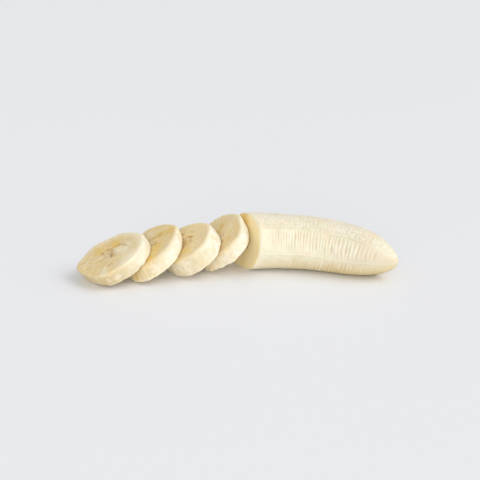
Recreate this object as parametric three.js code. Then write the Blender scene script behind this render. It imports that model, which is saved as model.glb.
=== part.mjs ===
// Peeled banana, partly sliced.
//
// The uncut end of the fruit lies on its side. Four slices, cut from it at a slant, have
// toppled over in front of the cut, each with its upper edge against the next one's face.
// Five solids: banana_body, and slice_4 (against the cut) to slice_1 (last of the row).
//
// Millimetres, +Z up. +X runs along the row towards the tip of the fruit and +Y to the back.
// The origin is under the middle of the whole row, on the surface that it lies on.

import * as THREE from 'three';

// ---------- Section of the fruit ----------

// Five blunt ridges run along the flesh, under the seams of the peel. Their angles round the
// section start sideways at the front of the row and turn upwards, in degrees.
const RIDGE_ANGLES = [-158, -80, -13, 45, 122];
// How far each side between two ridges is flattened from an arc towards a straight line.
const SIDE_FLATNESS = 0.2;
const STEPS_PER_SIDE = 9;
const HALF_WIDTH = 18.1;
const HALF_HEIGHT = 16.6;
// A place of the section that is drawn out, or worn in, takes the flesh round it along.
const DRAW_REACH = 10;

// ---------- Uncut end ----------

const BODY_LENGTH = 92.2;
const BEND_RADIUS = 103;
const CUT_HEADING = 8.8;
const CUT_CENTRE_HEIGHT = 16.2;
const TIP_DROP = 5.6;
// Share by which the flesh is thinner halfway along.
const WAIST = 0.08;
// It sags onto its underside, drawn out there by so many millimetres at each of two angles.
const SAG = [[-104, 3.6], [-54, 1.6]];
// The outline stays full for most of the length and closes round the tip, as
// (1 - s^TIP_FULLNESS)^TIP_SHARPNESS does.
const TIP_FULLNESS = 5.7;
const TIP_SHARPNESS = 0.83;
const NUB_RADIUS = 3;
const NUB_LENGTH = 5.3;
// The knife went through at a slant: the cut faces the front and a little upwards.
const CUT_SLANT = 21;
const CUT_TILT = 8.1;
// The sections turn from the slant of the cut to square within this length, slower at first.
const SLANT_FADE = 46;
const FADE_POWER = 1.5;
const CUT_RINGS = [0, 0.35, 0.7];
const RIM_RADIUS = 1.1;
const BODY_STEPS = 32;

// ---------- Slices ----------

// The slanted cut makes each slice's face longer one way than across it.
const FACE_RADIUS = 17.3;
const FACE_STRETCH = 1.09;
// The soft core dries and sinks a little: shares of the radius, and of the dish's depth there.
const FACE_DISH = 0.35;
const DISH_RINGS = [[0, 1], [0.3, 0.6], [0.65, 0.2]];
const WALL_BULGE = 0.1;
// Unevenness of the edge, as two waves of so many swells round the slice.
const EDGE_WAVE = 0.25;
const LONG_SWELLS = 3;
const SHORT_SWELLS = 7;
const TOUCH_GAP = 0.35;

// The row from the cut outwards. lean is the angle between a face and the floor, swing the way
// that the slope turns about the vertical, roll the turn of the ridges in the slice's own plane
// and grain the direction of its longer axis, all in degrees. side is how far the middle of
// the face lies behind the middle of the cut. shear is how far the back face is off the
// front face, across and up the slope. drawn is how far each ridge is drawn out, or worn in
// where it is negative.
const SLICES = [
  {
    name: 'slice_4', size: 1.05, thick: 8, lean: 44.1, swing: -63.3, roll: 40, grain: 15,
    side: -1.4, shear: [2.6, -2.5], drawn: [-0.1, -2.4, 0.8, 0.2, -1.5],
  },
  {
    name: 'slice_3', size: 0.976, thick: 11.3, lean: 35.8, swing: -61.6, roll: 35, grain: 23,
    side: -11, shear: [2.2, -0.8], drawn: [1.3, -0.8, -0.2, 0.7, 0.6],
  },
  {
    name: 'slice_2', size: 1.042, thick: 7.8, lean: 31.7, swing: -60.5, roll: 36, grain: 116,
    side: -12.1, shear: [4.5, -3], drawn: [0, -0.6, -0.3, 0.9, 0.1],
  },
  {
    name: 'slice_1', size: 1.123, thick: 9.4, lean: 28.2, swing: -55, roll: 36, grain: 29,
    side: -23.1, shear: [-1.1, 1.8], drawn: [1.1, 1.1, -1.3, 0.7, -2.4],
  },
];

const FLESH = { color: 0xf3e8cb, roughness: 0.55, metalness: 0 };
const CUT_FLESH = { color: 0xe2cf9c, roughness: 0.45, metalness: 0 };

const radians = THREE.MathUtils.degToRad;

/** Point of the ridged section, `turn` going from 0 to 1 round it; a ridge is at radius 1. */
function sectionPoint(turn, roll = 0) {
  const sides = RIDGE_ANGLES.length;
  const place = (turn % 1) * sides;
  const side = Math.min(Math.floor(place + 1e-6), sides - 1);
  const from = RIDGE_ANGLES[side];
  const to = side + 1 < sides ? RIDGE_ANGLES[side + 1] : RIDGE_ANGLES[0] + 360;
  const half = radians(to - from) / 2;
  const offMiddle = (2 * (place - side) - 1) * half;
  const chord = Math.cos(half) / Math.cos(offMiddle);
  const radius = 1 - SIDE_FLATNESS * (1 - chord);
  const angle = radians((from + to) / 2 + roll) + offMiddle;
  return new THREE.Vector2(radius * Math.cos(angle), radius * Math.sin(angle));
}

/** Draws the section out, `radius` wide, by so many millimetres round each [angle, amount]. */
function drawOut(point, places, radius) {
  const drawn = point.clone();
  for (const [angle, amount] of places) {
    const spot = new THREE.Vector2(Math.cos(radians(angle)), Math.sin(radians(angle)));
    const near = 1 - (point.distanceTo(spot) * radius) / DRAW_REACH;
    drawn.addScaledVector(spot, (THREE.MathUtils.smoothstep(near, 0, 1) * amount) / radius);
  }
  return drawn;
}

/**
 * Closed solid from a lathe's grid: `profile` lists [share of the radius, depth] from pole to
 * pole, and `place` puts each point of the section at its share and depth in space.
 */
function ridgedSolid(profile, roll, place) {
  const outline = profile.map(([share, depth]) => new THREE.Vector2(share, depth));
  const solid = new THREE.LatheGeometry(outline, RIDGE_ANGLES.length * STEPS_PER_SIDE);
  const position = solid.attributes.position;
  const uv = solid.attributes.uv;
  for (let i = 0; i < position.count; i += 1) {
    const [share, depth] = profile[Math.round(uv.getY(i) * (profile.length - 1))];
    const point = sectionPoint(1 - uv.getX(i), roll);
    const where = place(point, share, depth);
    position.setXYZ(i, where.x, where.y, where.z);
  }
  solid.computeVertexNormals();
  return solid;
}

/** Quarter round from a flat face into the wall, as [inset from the wall, depth]. */
function rimRound(radius, steps = 3) {
  const points = [];
  for (let i = 0; i <= steps; i += 1) {
    const angle = (Math.PI / 2) * (i / steps);
    points.push([radius * (1 - Math.sin(angle)), radius * (1 - Math.cos(angle))]);
  }
  return points;
}

// ---------- The uncut end ----------

/** Centreline of the uncut end: an even bend towards the front, sinking towards the tip. */
class Centreline extends THREE.Curve {
  getPoint(share, target = new THREE.Vector3()) {
    const start = radians(CUT_HEADING);
    const heading = start - (share * BODY_LENGTH) / BEND_RADIUS;
    const x = BEND_RADIUS * (Math.sin(start) - Math.sin(heading));
    const y = BEND_RADIUS * (Math.cos(heading) - Math.cos(start));
    return target.set(x, y, CUT_CENTRE_HEIGHT - TIP_DROP * share * share);
  }

  /** Level direction across the fruit, towards the front of the row. */
  getAcross(share) {
    const heading = radians(CUT_HEADING) - (share * BODY_LENGTH) / BEND_RADIUS;
    return new THREE.Vector3(Math.sin(heading), -Math.cos(heading), 0);
  }
}

/** Share of the full section that is left at a share of the length. */
function bodyFullness(share) {
  const flank = Math.pow(Math.max(1 - Math.pow(share, TIP_FULLNESS), 0), TIP_SHARPNESS);
  const fromEnd = ((1 - share) * BODY_LENGTH) / NUB_LENGTH;
  const dome = Math.sqrt(Math.max(1 - Math.pow(1 - Math.min(fromEnd, 1), 2), 0));
  const nub = (NUB_RADIUS / HALF_HEIGHT) * dome;
  return Math.hypot(flank, nub * (1 - flank)) * (1 - WAIST * Math.sin(Math.PI * share));
}

/** Grid lines of the uncut end: across the cut, round its rim, along the flesh to the tip. */
function bodyProfile() {
  const profile = CUT_RINGS.map((share) => [share, 0]);
  for (const [inset, depth] of rimRound(RIM_RADIUS)) {
    profile.push([1 - inset / HALF_HEIGHT, depth]);
  }
  for (let i = 1; i <= BODY_STEPS; i += 1) {
    const share = Math.sin((Math.PI / 2) * (i / BODY_STEPS));
    const depth = RIM_RADIUS + share * (BODY_LENGTH - RIM_RADIUS);
    profile.push([bodyFullness(depth / BODY_LENGTH), depth]);
  }
  return profile;
}

function bananaBody() {
  const centreline = new Centreline();
  const slant = Math.tan(radians(CUT_SLANT));
  const tilt = Math.tan(radians(CUT_TILT)) / Math.cos(radians(CUT_SLANT));
  const solid = ridgedSolid(bodyProfile(), 0, (point, share, depth) => {
    const drawn = drawOut(point, SAG, HALF_HEIGHT);
    const across = drawn.x * share * HALF_WIDTH;
    const up = drawn.y * share * HALF_HEIGHT;
    const fade = Math.pow(Math.max(1 - depth / SLANT_FADE, 0), FADE_POWER);
    const along = depth + (across * slant + up * tilt) * fade;
    const where = centreline.getPoint(along / BODY_LENGTH);
    where.addScaledVector(centreline.getAcross(along / BODY_LENGTH), across);
    // The weight of the fruit flattens its underside on the floor.
    where.z = Math.max(where.z + up, 0);
    return where;
  });
  const body = new THREE.Mesh(solid, new THREE.MeshStandardMaterial(FLESH));
  body.name = 'banana_body';
  return body;
}

/** The plane of the cut, seen from the slices: a point on it and the way that it faces. */
function cutFace() {
  const turn = radians(CUT_HEADING + CUT_SLANT);
  const tilt = radians(CUT_TILT);
  const level = Math.cos(tilt);
  const facing = new THREE.Vector3(-Math.cos(turn) * level, -Math.sin(turn) * level, Math.sin(tilt));
  const centre = new THREE.Vector3(0, 0, CUT_CENTRE_HEIGHT);
  return new THREE.Plane().setFromNormalAndCoplanarPoint(facing, centre);
}

// ---------- A slice ----------

/** Grid lines of a slice: front face, rim, wall, rim and back face. */
function sliceProfile(thick) {
  const front = DISH_RINGS.map(([share, part]) => [share, part * FACE_DISH]);
  for (const [inset, depth] of rimRound(RIM_RADIUS)) {
    front.push([1 - inset / FACE_RADIUS, depth]);
  }
  const back = front.map(([share, depth]) => [share, thick - depth]).reverse();
  return [...front, [1 + WALL_BULGE / FACE_RADIUS, thick / 2], ...back];
}

/** A slice in its own frame: x level across its face, y up the slope and z out of the face. */
function sliceSolid({ size, thick, roll, grain, shear, drawn }, waveStart) {
  const radius = size * FACE_RADIUS;
  const ridges = RIDGE_ANGLES.map((angle, index) => [angle + roll, drawn[index]]);
  const longWay = new THREE.Vector2(Math.cos(radians(grain)), Math.sin(radians(grain)));
  return ridgedSolid(sliceProfile(thick), roll, (point, share, depth) => {
    const angle = Math.atan2(point.y, point.x);
    const flat = drawOut(point, ridges, radius).multiplyScalar(share * radius);
    flat.addScaledVector(longWay, (FACE_STRETCH - 1) * flat.dot(longWay));
    const longSwell = Math.sin(LONG_SWELLS * angle + waveStart);
    const shortSwell = Math.sin(SHORT_SWELLS * angle + 2 * waveStart);
    flat.addScaledVector(point, share * share * EDGE_WAVE * (longSwell + shortSwell / 2));
    const off = depth / thick;
    return new THREE.Vector3(flat.x + shear[0] * off, flat.y + shear[1] * off, -depth);
  });
}

/** Sets a slice down on the floor and slides it along the row, up to the face behind it. */
function settle(perch, slice, behind) {
  perch.updateMatrixWorld(true);
  const position = slice.geometry.attributes.position;
  const corner = new THREE.Vector3();
  let lowest = Infinity;
  let nearest = Infinity;
  for (let i = 0; i < position.count; i += 1) {
    corner.fromBufferAttribute(position, i).applyMatrix4(slice.matrixWorld);
    lowest = Math.min(lowest, corner.z);
    nearest = Math.min(nearest, behind.distanceToPoint(corner));
  }
  nearest -= lowest * behind.normal.z;
  perch.position.z -= lowest;
  perch.position.x += (TOUCH_GAP - nearest) / behind.normal.x;
  perch.updateMatrixWorld(true);
}

/** The four slices, from the cut outwards, each one leaning on the face before it. */
function slicesInFrontOf(cut) {
  const slices = new THREE.Group();
  let behind = cut;
  SLICES.forEach((spec, index) => {
    const slice = new THREE.Mesh(sliceSolid(spec, index), new THREE.MeshStandardMaterial(CUT_FLESH));
    slice.name = spec.name;
    slice.rotation.x = radians(spec.lean);
    const perch = new THREE.Group();
    perch.rotation.z = radians(spec.swing);
    perch.position.y = spec.side;
    perch.add(slice);
    settle(perch, slice, behind);
    slices.add(perch);
    behind = new THREE.Plane(new THREE.Vector3(0, 0, 1), 0).applyMatrix4(slice.matrixWorld);
  });
  return slices;
}

// ---------- The whole row ----------

const row = new THREE.Group();
row.add(bananaBody());
row.add(slicesInFrontOf(cutFace()));

const extent = new THREE.Box3().setFromObject(row, true);
const middle = extent.getCenter(new THREE.Vector3());
row.position.set(-middle.x, -middle.y, -extent.min.z);

const group = new THREE.Group();
group.add(row);

export default group;
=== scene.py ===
import math
import random

import bmesh
import bpy
import mathutils
import numpy as np
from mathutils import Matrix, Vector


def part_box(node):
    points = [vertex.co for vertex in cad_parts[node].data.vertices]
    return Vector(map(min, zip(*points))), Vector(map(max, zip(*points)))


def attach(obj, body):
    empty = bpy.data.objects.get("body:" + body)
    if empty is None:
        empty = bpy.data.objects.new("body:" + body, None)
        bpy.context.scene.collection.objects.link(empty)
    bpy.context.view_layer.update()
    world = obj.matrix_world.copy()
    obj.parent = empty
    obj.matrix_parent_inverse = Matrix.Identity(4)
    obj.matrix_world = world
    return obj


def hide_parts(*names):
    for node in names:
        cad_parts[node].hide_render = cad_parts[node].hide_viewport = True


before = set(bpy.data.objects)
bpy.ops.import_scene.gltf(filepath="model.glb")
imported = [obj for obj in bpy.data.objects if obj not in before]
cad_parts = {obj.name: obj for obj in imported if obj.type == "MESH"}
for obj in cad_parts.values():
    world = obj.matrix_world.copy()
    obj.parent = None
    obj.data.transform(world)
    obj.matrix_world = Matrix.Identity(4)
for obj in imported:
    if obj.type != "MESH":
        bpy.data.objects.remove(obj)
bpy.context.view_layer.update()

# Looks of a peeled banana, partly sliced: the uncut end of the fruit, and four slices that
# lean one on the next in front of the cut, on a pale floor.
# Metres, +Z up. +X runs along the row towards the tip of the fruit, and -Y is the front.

MM = 0.001

# ---------- Sizes of the fruit ----------

# Angles of the five ridges round the section, in degrees: 0 is the front and 90 the top.
RIDGE_ANGLES = (-158, -80, -13, 45, 122)
# How flat the sides between the ridges are, from 0 (round) to 1 (flat).
SIDE_FLATNESS = 0.2
STEPS_PER_SIDE = 9
HALF_WIDTH = 18.1 * MM
HALF_HEIGHT = 16.6 * MM
# A place of the outline that is drawn out takes the flesh along for so far round it.
DRAW_REACH = 10 * MM
RIM_RADIUS = 1.5 * MM
RIM_STEPS = 2
# Rings of a cut face, as shares of its outline.
CAP_RINGS = (0.94, 0.87, 0.78, 0.67, 0.55, 0.43, 0.31, 0.19, 0.08)
# The middle of a cut face is found at most this far above or below where it should be.
CAP_REACH = 3 * MM

BODY_LENGTH = 92.2 * MM
BEND_RADIUS = 103 * MM
# Where the fruit heads at the cut, in degrees from the row towards the back.
CUT_HEADING = 8.8
CUT_CENTRE_HEIGHT = 16.2 * MM
TIP_DROP = 5.6 * MM
# How much slimmer the fruit is halfway along, as a share.
WAIST = 0.08
# The underside sags: it is drawn out by so many mm at each of these angles.
SAG = ((-104, 3.6), (-54, 1.6))
# The flank stays full for longer with a higher fullness, and closes more bluntly with a lower
# sharpness, round a small nub at the tip.
TIP_FULLNESS = 5.7
TIP_SHARPNESS = 0.83
NUB_RADIUS = 3 * MM
NUB_LENGTH = 5.3 * MM
# How far the knife was from square to the fruit, in degrees, sideways and upwards.
CUT_SLANT = 21
CUT_TILT = 8.1
# The sections are square to the fruit from here on.
SLANT_FADE = 40 * MM
SLANT_RINGS = 26
FLANK_RINGS = 42
# How much closer together the rings lie towards the tip, and the share that the last one keeps.
RING_CROWDING = 0.5
LAST_RING = 0.02

FACE_RADIUS = 17.3 * MM
FACE_STRETCH = 1.09
WALL_CUTS = 3
# Levels of the smoothing that finishes each surface.
BODY_SMOOTHING = 2
SLICE_SMOOTHING = 3

# size: radius of the face, as a share of FACE_RADIUS. thick: thickness in mm.
# In degrees, lean: slope of the face. swing: turn of the slope about the vertical. roll: turn
# of the ridges in the slice. grain: direction of the face's longer axis.
# In mm, shear: offset of the back face, across and up the slope. drawn: how far each ridge is
# drawn out, or worn in. rim_width: how far the pale rim reaches into the face.
# warmth: how far the wall is painted tan near the floor as painted shade, or below 0 whiter; it also sets
# how tan the painted shade on the side away from the light is.
SLICES = {
    "slice_4": dict(size=1.05, thick=8, lean=44.1, swing=-63.3, roll=40, grain=15, shear=(2.6, -2.5),
                    drawn=(-0.1, -2.4, 0.8, 0.2, -1.5), warmth=-0.2, rim_width=2.8),
    "slice_3": dict(size=0.976, thick=11.3, lean=35.8, swing=-61.6, roll=35, grain=23, shear=(2.2, -0.8),
                    drawn=(1.3, -0.8, -0.2, 0.7, 0.6), warmth=0.35, rim_width=2.8),
    "slice_2": dict(size=1.042, thick=7.8, lean=31.7, swing=-60.5, roll=36, grain=116, shear=(4.5, -3),
                    drawn=(0, -0.6, -0.3, 0.9, 0.1), warmth=0.45, rim_width=2.8),
    "slice_1": dict(size=1.123, thick=9.4, lean=28.2, swing=-55, roll=36, grain=29, shear=(-1.1, 1.8),
                    drawn=(1.1, 1.1, -1.3, 0.7, -2.4), warmth=1.2, rim_width=6.5),
}

# ---------- What the flesh shows ----------

# What each cut face shows, in mm from its middle, across and up the slope.
# core: turn of the seed core, in degrees. fresh: how pale and yellow the cut is, from 0 to 1; on the slices
# this is a tone of their own, and on the body's cut it is painted light that lifts the cut out of the shade
# of slice_4.
# flecks: dark seeds and bruises (x, y, radius, depth of colour). patches: paler (above 0) or
# riper (below 0) flesh (x, y, radius, amount). strokes: fibres that the knife raised (amount
# above 0) and dark streaks (below 0), some brown and some painted shadow beside the raised fibres, from
# point to point (start, end, half width, amount).
FACES = {
    "banana_body": dict(
        core=10,
        # Painted light: the body's cut is painted pale so that it stays bright in the shade of slice_4.
        pale_tone_and_painted_light=0.85,
        flecks=[(3.6, -3.3, 0.8, 1)],
        patches=[(-6.5, 14.1, 5, -0.8), (-1.8, 10.8, 4, -0.6), (3.7, 6.9, 3.5, -0.4), (1.8, -15, 5, -0.35),
                 (8.4, -7.3, 3, 0.3)],
        strokes=[],
    ),
    "slice_4": dict(
        core=40,
        pale_tone_and_painted_light=0.25,
        flecks=[(-2.9, 6.5, 1.4, 0.5), (7.9, -0.9, 1.2, 0.6)],
        patches=[(4.6, 9, 3.5, 0.6), (-2.9, 6.5, 4, -0.7), (11.4, 2.7, 3, -0.6), (0, -12, 6, -0.4),
                 (12, -13, 4, -0.3), (8, -17, 3, -0.5)],
        strokes=[((-2.9, 6.5), (-1, 3.5), 0.7, -0.4)],
    ),
    "slice_3": dict(
        core=75,
        pale_tone_and_painted_light=0.35,
        flecks=[(-8.1, 2.9, 1.0, 0.9), (4.4, 2.2, 1.1, 0.5)],
        patches=[(8.1, -3.5, 4, -0.8), (-4.4, 11.8, 5, 0.25), (-9, -4, 6, -0.5), (11, 4, 5, 0.3)],
        strokes=[((-2.4, 3.3), (1.5, 5.5), 0.6, -0.6), ((-4, 7), (0, 8.6), 0.5, -0.35),
                 ((4.4, 2.2), (6, -2), 0.7, -0.35)],
    ),
    "slice_2": dict(
        core=50,
        pale_tone_and_painted_light=0.15,
        flecks=[(-1.3, 8.9, 1.9, 0.8)],
        patches=[(-9.1, 6.3, 3.5, 0.6), (3.3, 15.1, 4.5, -0.9), (7.5, 1.5, 4.5, -0.9), (12.8, -6.1, 4, -0.8),
                 (-1.3, 8.9, 3, -0.7), (8.6, -16.6, 4, -0.8)],
        strokes=[((-1.7, 6.8), (-3.5, 3.5), 1.0, -0.45), ((3, 3.5), (6, 5), 0.6, -0.3),
                 ((4, -1), (8, 0.5), 0.5, 0.35), ((6, -3.5), (10, -3), 0.5, 0.3)],
    ),
    "slice_1": dict(
        core=10,
        pale_tone_and_painted_light=0.1,
        flecks=[(-5.5, -2.5, 1.1, 0.9), (1.7, -0.5, 1.0, 1), (9, -6.8, 1.1, 0.5)],
        patches=[(2.9, 3.3, 2.5, 0.6), (6.6, 6.4, 3, 0.6), (17.1, 3.4, 7, 1.0), (3.7, 11.7, 4, 0.6),
                 (9.9, -9.5, 2.2, 0.6), (13.7, -13.2, 4, 0.7), (-9.9, -1.6, 4, -0.6), (-7.5, 6.5, 4, -0.6),
                 (1.5, 15.1, 4, -0.35), (-3.6, 6.5, 2.5, -0.9), (-7.5, -5, 3, -0.3)],
        strokes=[((-8, -18), (-6.7, -10.6), 0.5, 1), ((-6.8, -11), (-3.1, -8.5), 0.4, 0.7),
                 ((-3.1, -8.6), (-1.8, -2.4), 0.65, 1), ((-5.4, -18.2), (-4.2, -14), 0.45, 0.9),
                 ((-4.8, -13), (-1.4, -10.6), 0.4, 0.7), ((8.6, -9), (7.7, -3.8), 0.55, 0.8),
                 ((-3.6, 4.2), (-0.9, 8.6), 1.1, -0.8), ((-0.9, 8.6), (5.4, 9.6), 0.7, -0.45),
                 ((-6.3, -0.4), (-3.5, 3.1), 1.0, -0.55), ((-2.6, -9), (-1, -4.6), 0.4, -0.4),
                 ((3.8, -2.1), (2.2, -1), 0.9, -0.5), ((0.3, -8.2), (0.5, -4.5), 0.5, -0.35),
                 ((9, -6.8), (8.4, -4.2), 0.6, -0.4), ((1, 1.8), (4.5, 6.8), 0.8, 0.8),
                 ((4.2, 1.5), (7, 5), 0.6, 0.6), ((-1, 3.6), (2, 7.4), 0.7, 0.8),
                 ((-3.5, 2.4), (-1.6, 6), 0.6, 0.7), ((3.2, 9.2), (5.2, 12), 0.6, 0.6),
                 ((5.5, -4.5), (8.5, 1), 0.5, 0.5), ((12, -8), (13.5, -2), 0.5, 0.4)],
    ),
}
# How deep behind the face the patches reach, in mm.
BODY_PATCH_DEPTH = 1.2
SLICE_PATCH_DEPTH = 7
# How deep behind a face the wall has the face's outline, in mm.
OUTLINE_DEPTHS = (0.6, 4)

# The seed core, in mm: three lobes, each with a gap and a row of tiny seeds along it.
LOBES = 3
CORE_RADIUS = 4.6
LOBE_BULGE = 0.25
GAP_EDGE = (0.5, 0.1)
GAP_END = (6, 4)
SEEDS_PER_LOBE = 5
FIRST_SEED = 1.4
SEED_SPACING = 0.95
SEED_SCATTER = 0.25
SEED_TURN = 0.16
SEED_RADII = (0.35, 0.55)
SEED_DEPTHS = (0.25, 0.6)
# A stroke is bowed by so many mm, and its ends are this share of its width.
STROKE_BOW = 0.12
STROKE_END = 0.3

# Between two ridges the flesh has fine bands across it, where it was pressed into the peel.
# For each side, from the one at the back of the underside: how much the bands slant, how
# strong they are at four places from ridge to ridge, how mottled the side is, and what share
# of the bands' strength is left near the cut.
SIDES = (
    (-0.2, (0.3, 0.6, 0.6, 0.3), 0.3, 0.3),
    (-0.3, (0.15, 0.45, 0.75, 0.6), 0.3, 0.4),
    (0.03, (0.3, 0.75, 1.0, 0.9), 0.0, 0.65),
    (0.1, (0.6, 0.4, 0.4, 0.3), 1.0, 0.8),
    (0.1, (0.4, 0.5, 0.5, 0.4), 0.6, 0.6),
)
# The four places, as shares of the way between the ridges.
SIDE_PLACES = (0.05, 0.35, 0.7, 0.95)
# Near the cut is up to the first of these places along the fruit, in mm, and no more from
# the second on.
NEAR_CUT = (10, 50)
# Bands and dots fade out so many mm from a ridge.
BAND_FADE = 0.9
DOT_FADE = 2.5
# How many bands there are up to some places along the fruit, in mm: finer near the cut.
BAND_PLACES = (-20, 30, 60, 100)
BAND_COUNTS = (-27.8, 0, 14.3, 30.3)
# How clear the bands are, so many mm from the cut: a smooth collar, and fainter to the tip.
CLEAR_PLACES = (2, 7, 30, 58, 76, 85)
CLEARNESS = (0, 0.8, 1.0, 1.0, 0.65, 0.2)
SLICE_CLEARNESS = 0.12
SLICE_BAND_WIDTH = 1.8
# A fine line, sunk as a groove and painted darker as painted shadow, runs along each ridge, with a fainter
# one beside it, in mm. It wanders in waves (height, length per radian, turn from side to side) and is faint
# in places in the same way.
LINE_HALF_WIDTH = 0.5
SECOND_LINE = 2.3
LINE_WAVES = ((0.3, 6.1, 2), (0.15, 2.3, 1))
LINE_FAINTNESS = (0.3, 7.3, 1.7)
# How clear the lines are, so many mm from the cut.
LINE_PLACES = (0, 60, 92)
LINE_CLEARNESS = (0.5, 1, 0.3)
SLICE_LINE_CLEARNESS = 0.5
# Faces and slices read patterns this far apart, in mm, and so do sides, so no two are alike.
PATTERN_STEP = 50
SIDE_STEP = 20

# Zones of colour: where each begins and where it is full, from either end if it has two pairs.
# In mm from the tip of the fruit:
YELLOW_TIP = (9, 4)
ORANGE_ZONE = ((26, 17), (5, 10))
# A painted highlight along the top near the tip, where its facet catches the light.
TIP_HIGHLIGHT = ((19, 13), (1, 3))
# From -1 straight below the middle of the section to 1 straight above:
UPPER_HALF = (-0.1, 0.3)
TOP = (0.5, 0.8)
# In mm from the cut:
COLLAR = (5, 0.8)
# Grey painted shade dims the front and upper front towards the tip, where the key light falls brightest.
GREY_END = (50, 72)
# The painted shade near the floor is at 0.3 strength up to the first place and full from the second.
PAINTED_SHADING_ALONG = (10, 55)
# Round the section of the fruit, in degrees:
GREY_SIDE = ((-35, -5), (105, 65))
# Round a slice, in degrees, from 0 across its face to 90 up the slope. Its wall is painted tan like
# the cut on one side, away from the light, as painted shade, which fades again in TAN_FADE, with a little
# tan on the back, and painted nearly white on the other, lit side, as painted light.
TAN_FRONT = (35, -60)
TAN_FADE = (-100, -170)
TAN_BACK = (80, 160)
TAN_PARTING = 60
WHITE_SIDE = ((5, 45), (115, 70))
WAVY_SIDE = (95, 55)
# In mm above the floor:
# Painted shade near the floor, on the body and on the slices' walls, begins below the first height and is
# full below the second.
NEAR_FLOOR = (13, 3)
CLEAR_OF_FLOOR = (6, 15)

# ---------- Sizes of the patterns ----------

# Each is the size that the pattern's swells, specks or clouds have on a real banana.
# Relief: the flesh swells and dips over a finger's width and has fine pores, and the wall of
# a slice is scalloped, with frayed rims.
BODY_SWELLS = 20 * MM
SLICE_SWELLS = 14.2857 * MM
PORES = 1.66667 * MM
FRAYS = 2.38095 * MM
SCALLOPS = 4.7619 * MM
# Colour: clouds of about a centimetre, smaller blushes and blotches, and specks of torn flesh.
CLOUDS = 11.1111 * MM
BLUSHES = 6.25 * MM
BLOTCHES = 4.16667 * MM
HUES = 7.69231 * MM
TORN_SPECKS = 1.92308 * MM
# The cells of the flesh are finer than this: they are drawn as coarse as they need to show.
FLESH_GRAIN = 0.666667 * MM
GRAIN_HEIGHT = 0.2 * MM
# Fibres of a cut face: how many there are per radian round it, and the length of one in mm.
FIBRES_PER_RADIAN = 9.0
FIBRE_LENGTH = 3.33333
# Cells of each pattern on the wall: per band, which is about 2 mm wide, per mm along a band,
# and per mm of SIDE_STEP.
BAND_WANDER = (0.35, 0.05, 1.0)
BAND_STROKES = (1.1, 0.1, 1.0)
BAND_PATCHES = (0.1, 0.12, 1.0)
DOTS = (1.7, 0.5, 1.0)

# How a value grows between two limits.
SOFTLY = "SMOOTHSTEP"
EVENLY = "LINEAR"


# ---------- Modelling by hand ----------

def edit():
    """Opens the active piece in edit mode, with nothing selected."""
    bpy.ops.object.mode_set(mode="EDIT")
    bpy.ops.mesh.select_mode(type="VERT")
    bpy.ops.mesh.select_all(action="DESELECT")


def leave():
    bpy.ops.object.mode_set(mode="OBJECT")


def pick(piece, kind, rule):
    """Selects the verts, edges or faces of the piece in edit mode for which the rule holds."""
    bpy.ops.mesh.select_mode(type={"verts": "VERT", "edges": "EDGE", "faces": "FACE"}[kind])
    bpy.ops.mesh.select_all(action="DESELECT")
    mesh = bmesh.from_edit_mesh(piece.data)
    for element in getattr(mesh, kind):
        if rule(element):
            element.select_set(True)
    bmesh.update_edit_mesh(piece.data)


def finish_modifier(piece, name, kind, **settings):
    modifier = piece.modifiers.new(name, kind)
    for key, value in settings.items():
        setattr(modifier, key, value)
    bpy.ops.object.modifier_apply(modifier=modifier.name)


def apply_place():
    bpy.ops.object.transform_apply(location=True, rotation=True, scale=True)


def turn(piece, x=0, z=0):
    """Turns the piece about the origin by so many degrees, first about X and then about Z."""
    piece.rotation_euler = (math.radians(x), 0, math.radians(z))
    apply_place()


def stretch(piece, x):
    piece.scale.x = x
    apply_place()


def face_out():
    bpy.ops.mesh.select_all(action="SELECT")
    bpy.ops.mesh.normals_make_consistent(inside=False)


def ridged_outline(name, half_width, half_height, angles, drawn):
    """The section of the fruit as one flat face at the origin, left in edit mode."""
    bpy.ops.object.select_all(action="DESELECT")
    bpy.ops.mesh.primitive_circle_add(vertices=len(angles), radius=half_height, fill_type="NOTHING")
    piece = bpy.context.object
    piece.name = name
    corners = sorted((math.atan2(v.co.y, v.co.x), v.index) for v in piece.data.vertices)
    places = [piece.data.vertices[index].co.copy() for _, index in corners]
    targets = sorted((angle + 180) % 360 - 180 for angle in angles)
    edit()
    for (_, index), place, angle in zip(corners, places, targets):
        pick(piece, "verts", lambda vert: vert.index == index)
        x = half_height * math.cos(math.radians(angle)) - place.x
        y = half_height * math.sin(math.radians(angle)) - place.y
        bpy.ops.transform.translate(value=(x, y, 0))
    bpy.ops.mesh.select_all(action="SELECT")
    bpy.ops.mesh.subdivide(number_cuts=STEPS_PER_SIDE - 1)
    leave()
    # Swells the flat sides nearly to a circle, which leaves a blunt ridge at each corner.
    finish_modifier(piece, "swell", "CAST", cast_type="CYLINDER", factor=1 - SIDE_FLATNESS,
                    size=half_height, use_z=False, use_radius_as_size=False)
    edit()
    for angle, amount in drawn:
        ahead = mathutils.Vector((math.cos(math.radians(angle)), math.sin(math.radians(angle)), 0))
        near = max(piece.data.vertices, key=lambda vert: vert.co.normalized() @ ahead).index
        pick(piece, "verts", lambda vert: vert.index == near)
        bpy.ops.transform.translate(value=ahead * amount * MM, use_proportional_edit=True,
                                    proportional_edit_falloff="SMOOTH", proportional_size=DRAW_REACH)
    leave()
    stretch(piece, x=half_width / half_height)
    edit()
    bpy.ops.mesh.select_all(action="SELECT")
    bpy.ops.mesh.edge_face_add()
    return piece


def is_cut(face):
    """The cut faces are the only ones with more than four corners, until they get their rings."""
    return len(face.verts) > 4


def soften_rim(piece):
    """Rounds the edge of each cut face."""
    pick(piece, "edges", lambda edge: any(is_cut(face) for face in edge.link_faces))
    bpy.ops.mesh.bevel(offset=RIM_RADIUS, segments=RIM_STEPS, affect="EDGES")


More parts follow.
